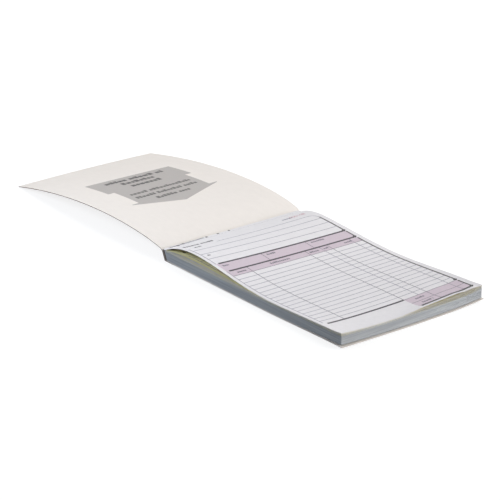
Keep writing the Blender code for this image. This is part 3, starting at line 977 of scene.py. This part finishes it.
def block_line(left, right, middle, height, rng, gap=BLOCK_GAP):
    """A line of small upright blocks in groups; widths and gaps are shares of its height."""
    blocks = []
    pen = left
    run = 0
    foot = middle - height / 2
    while pen < right - BLOCK_GAP * height:
        width = min(height * rng.uniform(*BLOCK_WIDTHS), right - pen)
        tall = height * rng.choice(BLOCK_HEIGHTS)
        blocks.append(page_grid(pen, pen + width, foot, foot + tall, BLOCK_STEP))
        run += 1
        group_ends = run > GROUP_BLOCKS and rng.random() < GROUP_END_CHANCE
        run = 0 if group_ends else run
        pen += width + height * (gap + GROUP_GAP * group_ends)
    return blocks


def tinted_band(left, right, foot, head, radius):
    """A band of tint whose right foot corner is rounded."""
    rounded = foot + radius * (1 - np.cos(np.linspace(0, math.pi / 2, 6)))
    heights = np.concatenate([rounded, np.linspace(rounded[-1], head, 11)[1:]])
    inset = radius - np.sqrt(np.maximum(0.0, radius**2 - np.maximum(0.0, radius - (heights - foot)) ** 2))
    shares = np.linspace(0.0, 1.0, 80)
    return left + shares[None, :] * (right - inset - left)[:, None], np.repeat(heights[:, None], len(shares), axis=1)


def form_marks():
    """Every mark of the invoice form as (ink, lift, x grid, y grid)."""
    rng = np.random.default_rng(FORM_SEED)
    marks = []

    def put(ink_slot, places, lift=INK_LIFT):
        marks.append((ink_slot, lift, places[0], places[1]))

    r = FORM_CORNER
    for row in range(ADDRESS_LINES):
        rule_y = mix(ADDRESS_TOP, ADDRESS_FOOT, row / ADDRESS_LINES)
        start = FORM_LEFT + (ADDRESS_RULE_INSET if row == 0 else 0.0)
        end = FORM_RIGHT - (ADDRESS_CORNER if row == 0 else 0.0)
        put(PALE, line([(start, rule_y), (end, rule_y)], RULE_LINE))
    address_turn = corner(FORM_RIGHT - ADDRESS_CORNER, ADDRESS_TOP - ADDRESS_CORNER, ADDRESS_CORNER, 90, 0)
    put(PALE, line(address_turn, RULE_LINE))
    put(PALE, line([(FORM_LEFT, ADDRESS_FOOT), (FORM_LEFT, ADDRESS_TOP - ADDRESS_SIDE_GAP)], RULE_LINE))
    put(DARK, line([(FORM_LEFT + r, ADDRESS_FOOT), (FORM_RIGHT - r, ADDRESS_FOOT)], CROSS_LINE))
    address = corner(FORM_RIGHT - r, ADDRESS_FOOT + r, r, -90, 0) + [(FORM_RIGHT, ADDRESS_TOP - ADDRESS_CORNER)]
    put(DARK, line(address, FRAME_LINE))
    put(DARK, line(corner(FORM_RIGHT - r, ADDRESS_FOOT + r, r, -80, -10), CORNER_LINE))

    put(TINT, tinted_band(FORM_LEFT, FORM_RIGHT, DETAIL_FOOT, ADDRESS_FOOT, r), TINT_LIFT)
    put(DARK, line([(FORM_LEFT + r, DETAIL_FOOT), (FORM_RIGHT - r, DETAIL_FOOT)], CROSS_LINE))
    detail = corner(FORM_RIGHT - r, DETAIL_FOOT + r, r, -90, 0) + [(FORM_RIGHT, ADDRESS_FOOT - DETAIL_SIDE_GAP)]
    put(DARK, line(detail, FRAME_LINE))
    put(DARK, line(corner(FORM_RIGHT - r, DETAIL_FOOT + r, r, -80, -10), CORNER_LINE))
    for divider in DETAIL_DIVIDERS:
        put(GREY, line([(divider, DETAIL_FOOT), (divider, ADDRESS_FOOT)], COLUMN_LINE))

    put(TINT, page_grid(FORM_LEFT, FORM_RIGHT, TABLE_TOP, DETAIL_FOOT, TINT_STEP), TINT_LIFT)
    for row in range(TABLE_ROWS):
        row_y = mix(TABLE_TOP, TABLE_FOOT, row / TABLE_ROWS)
        put(GREY if row == 0 else PALE, line([(FORM_LEFT, row_y), (FORM_RIGHT, row_y)], RULE_LINE))
    for column in TABLE_COLUMNS:
        foot = TOTAL_FOOT if column in TABLE_COLUMNS[3:] else TABLE_FOOT
        pale = column in (TABLE_COLUMNS[2], TABLE_COLUMNS[4])
        put(PALE if pale else GREY, line([(column, DETAIL_FOOT), (column, foot)], COLUMN_LINE))
    put(PALE, line([(FORM_LEFT, TABLE_FOOT + r), (FORM_LEFT, DETAIL_FOOT)], RULE_LINE))
    put(DARK, line([(FORM_LEFT + r, TABLE_FOOT), (TOTAL_LEFT, TABLE_FOOT)], CROSS_LINE))
    border = [(FORM_RIGHT, DETAIL_FOOT - TABLE_SIDE_GAP), (FORM_RIGHT, TABLE_FOOT + r)]
    border += corner(FORM_RIGHT - r, TABLE_FOOT + r, r, 0, -60)
    put(DARK, line(border, FRAME_LINE))
    put(DARK, line(corner(FORM_RIGHT - r, TABLE_FOOT + r, r, -10, -60), CORNER_LINE))

    put(TINT, tinted_band(TOTAL_LEFT, FORM_RIGHT, TOTAL_FOOT, TABLE_FOOT, r), TINT_LIFT)
    total = [(FORM_RIGHT, TABLE_FOOT - TOTAL_GAP), (FORM_RIGHT, TOTAL_FOOT + r)]
    total += corner(FORM_RIGHT - r, TOTAL_FOOT + r, r, 0, -90)
    put(DARK, line(total, FRAME_LINE))
    put(DARK, line(corner(FORM_RIGHT - r, TOTAL_FOOT + r, r, -10, -80), CORNER_LINE))
    put(DARK, line([(FORM_RIGHT - r, TOTAL_FOOT), (TOTAL_LEFT + TOTAL_GAP, TOTAL_FOOT)], TOTAL_LINE))
    for total_y in (TABLE_FOOT, TOTAL_MIDDLE):
        put(GREY, line([(TOTAL_LEFT, total_y), (FORM_RIGHT, total_y)], COLUMN_LINE))

    for title in TITLE_LINES:
        for block in block_line(*title, rng):
            put(DARK, block)
    for block in block_line(*NUMBER_TITLE, rng):
        put(PALE, block)
    for title in COLUMN_TITLES:
        for block in block_line(*title, COLUMN_TITLE_HEIGHT, rng):
            put(GREY, block)
    return marks


def serial_number(height):
    """The set's printed number, in plain figures, laid on the leaf."""
    figures = bpy.data.curves.new("serial_number", "FONT")
    figures.body = NUMBER_FIGURES
    figures.size = NUMBER_HEIGHT
    figures.extrude = NUMBER_DEPTH
    figures.resolution_u = 3
    writer = bpy.data.objects.new("serial_number_start", figures)
    scene.collection.objects.link(writer)
    mesh = plain_mesh(writer)
    points = np.zeros(len(mesh.vertices) * 3)
    mesh.vertices.foreach_get("co", points)
    points = points.reshape(-1, 3) + NUMBER_PLACE
    faces = [tuple(polygon.vertices) for polygon in mesh.polygons]
    points[:, 2] += height(points[:, 0], points[:, 1]) + NUMBER_LIFT
    return points, faces


FORM = form_marks()
for i, leaf_name in enumerate(leaf_names):
    height = leaf_top(i)
    raised = TOP_LIFT if i == 0 else 1.0
    parts = [lay(x, y, height, lift * raised, INK_SINK, slot) for slot, lift, x, y in FORM]
    tint = TINT_INK if i % 2 == 0 else TINT_INK_ON_YELLOW
    form_mesh = new_mesh(f"form_{leaf_name}", parts, [FRAME_INK, COLUMN_INK_AND_FOLD_SHADE, RULE_INK, tint])
    form = new_piece(f"form_{leaf_name}", form_mesh)
    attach(form, leaf_name)
    number_points, number_faces = serial_number(height)
    number_mesh = bpy.data.meshes.new(f"number_{leaf_name}")
    number_mesh.from_pydata((number_points * MM).tolist(), [], number_faces)
    number_mesh.materials.append(NUMBER_INK)
    number = new_piece(f"number_{leaf_name}", number_mesh)
    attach(number, leaf_name)


# Print on the flap


def tilted(x, y):
    """The arrow's print runs a little out of square on the flap."""
    return x, y + ARROW_TILT * (y - ARROW_SQUARE_Y) * (x - ARROW_MIDDLE_X)


def arrow_rows(rows):
    """A filled outline given as rows of (y, left x, right x)."""
    levels = []
    for (y0, left0, right0), (y1, left1, right1) in zip(rows, rows[1:]):
        steps = max(1, math.ceil(abs(y1 - y0) / TINT_STEP))
        for k in range(steps):
            share = k / steps
            levels.append((mix(y0, y1, share), mix(left0, left1, share), mix(right0, right1, share)))
    levels.append(rows[-1])
    levels = np.array(levels)
    shares = np.linspace(0.0, 1.0, 30)
    x = levels[:, 1:2] + shares[None, :] * (levels[:, 2:3] - levels[:, 1:2])
    return tilted(x, np.repeat(levels[:, :1], len(shares), axis=1))


arrow_parts = [lay(*arrow_rows(rows), flap_top, ARROW_LIFT, ARROW_SINK, 0) for rows in ARROW_PARTS]
flap_rng = np.random.default_rng(FLAP_SEED)
for *span, slot in ARROW_LINES:
    for block in block_line(*span, flap_rng, ARROW_BLOCK_GAP):
        arrow_parts.append(lay(*tilted(*block), flap_top, ARROW_BLOCK_LIFT, 0.0, slot))
flap_inks = [ARROW_INK, ARROW_TEXT_INK, ARROW_NOTE_INK]
flap_print = new_piece("flap_print", new_mesh("flap_print", arrow_parts, flap_inks))
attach(flap_print, "front_flap")


# Perforation and crease


def row_of_cuts():
    """Sets a short flat cut at each step along a straight line."""
    tree = bpy.data.node_groups.new("row_of_cuts", "GeometryNodeTree")
    for label, kind in (
        ("Start", "NodeSocketVector"),
        ("Step", "NodeSocketVector"),
        ("Count", "NodeSocketInt"),
        ("Cut Size", "NodeSocketVector"),
        ("Material", "NodeSocketMaterial"),
    ):
        tree.interface.new_socket(label, in_out="INPUT", socket_type=kind)
    tree.interface.new_socket("Cuts", in_out="OUTPUT", socket_type="NodeSocketGeometry")
    sizes = node(tree, "NodeGroupInput").outputs
    places = node(
        tree,
        "GeometryNodeMeshLine",
        {"Count": sizes["Count"], "Start Location": sizes["Start"], "Offset": sizes["Step"]},
        mode="OFFSET",
    )
    cut = node(tree, "GeometryNodeMeshCube", {"Size": sizes["Cut Size"]})
    cuts = node(
        tree, "GeometryNodeInstanceOnPoints", {"Points": places.outputs["Mesh"], "Instance": cut.outputs["Mesh"]}
    )
    solid = node(tree, "GeometryNodeRealizeInstances", {"Geometry": cuts.outputs["Instances"]})
    finished = node(
        tree, "GeometryNodeSetMaterial", {"Geometry": solid.outputs["Geometry"], "Material": sizes["Material"]}
    )
    node(tree, "NodeGroupOutput", {"Cuts": finished.outputs["Geometry"]})
    return tree


cut_count = int(PAGE_WIDTH / PERFORATION_STEP)
first_cut = (-PERFORATION_STEP * (cut_count - 1) / 2, SLIT_Y + PERFORATION_IN, HEAD_TOP - PERFORATION_SINK)
perforation_mesh = grow(
    "perforation",
    row_of_cuts(),
    bpy.data.meshes.new("perforation_start"),
    {
        "Start": tuple(v * MM for v in first_cut),
        "Step": (PERFORATION_STEP * MM, 0.0, 0.0),
        "Count": cut_count,
        "Cut Size": tuple(v * MM for v in PERFORATION_CUT),
        "Material": HOLE_SHADE,
    },
)
perforation = new_piece("perforation", perforation_mesh)
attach(perforation, "bound_pad")


def head_top(x, y):
    """The glued head's upper face, from the perforation to the crease."""
    fall = (HEAD_TOP - STUB_TOP) * np.clip((y - SLIT_Y) / STUB_DEPTH, 0.0, 1.0)
    return HEAD_TOP - fall - LIP_FALL * np.maximum(0.0, y - HEAD_Y)


# Painted shade at the head: dark spots where small gaps open under the card's fold, and a grey line along the fold's
# edge
crease_shade_parts = [lay(*line(FOLD_SHADE_LINE, FOLD_SHADE_LINE_WIDTH), head_top, FOLD_SHADE_LINE_LIFT, MARK_SINK, 1)]
for shade_spot_x, shade_spot_y, shade_spot_width in FOLD_SHADE_SPOTS:
    half = shade_spot_width / 2
    shade_spot = page_grid(shade_spot_x - half, shade_spot_x + half, shade_spot_y - FOLD_SHADE_SPOT_HALF, shade_spot_y + FOLD_SHADE_SPOT_HALF, FOLD_SHADE_SPOT_STEP)
    crease_shade_parts.append(lay(*shade_spot, head_top, FOLD_SHADE_SPOT_LIFT, MARK_SINK, 0))
crease_painted_shade = new_piece("crease_painted_shade", new_mesh("crease_painted_shade", crease_shade_parts, [HOLE_SHADE, COLUMN_INK_AND_FOLD_SHADE]))
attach(crease_painted_shade, "bound_pad")
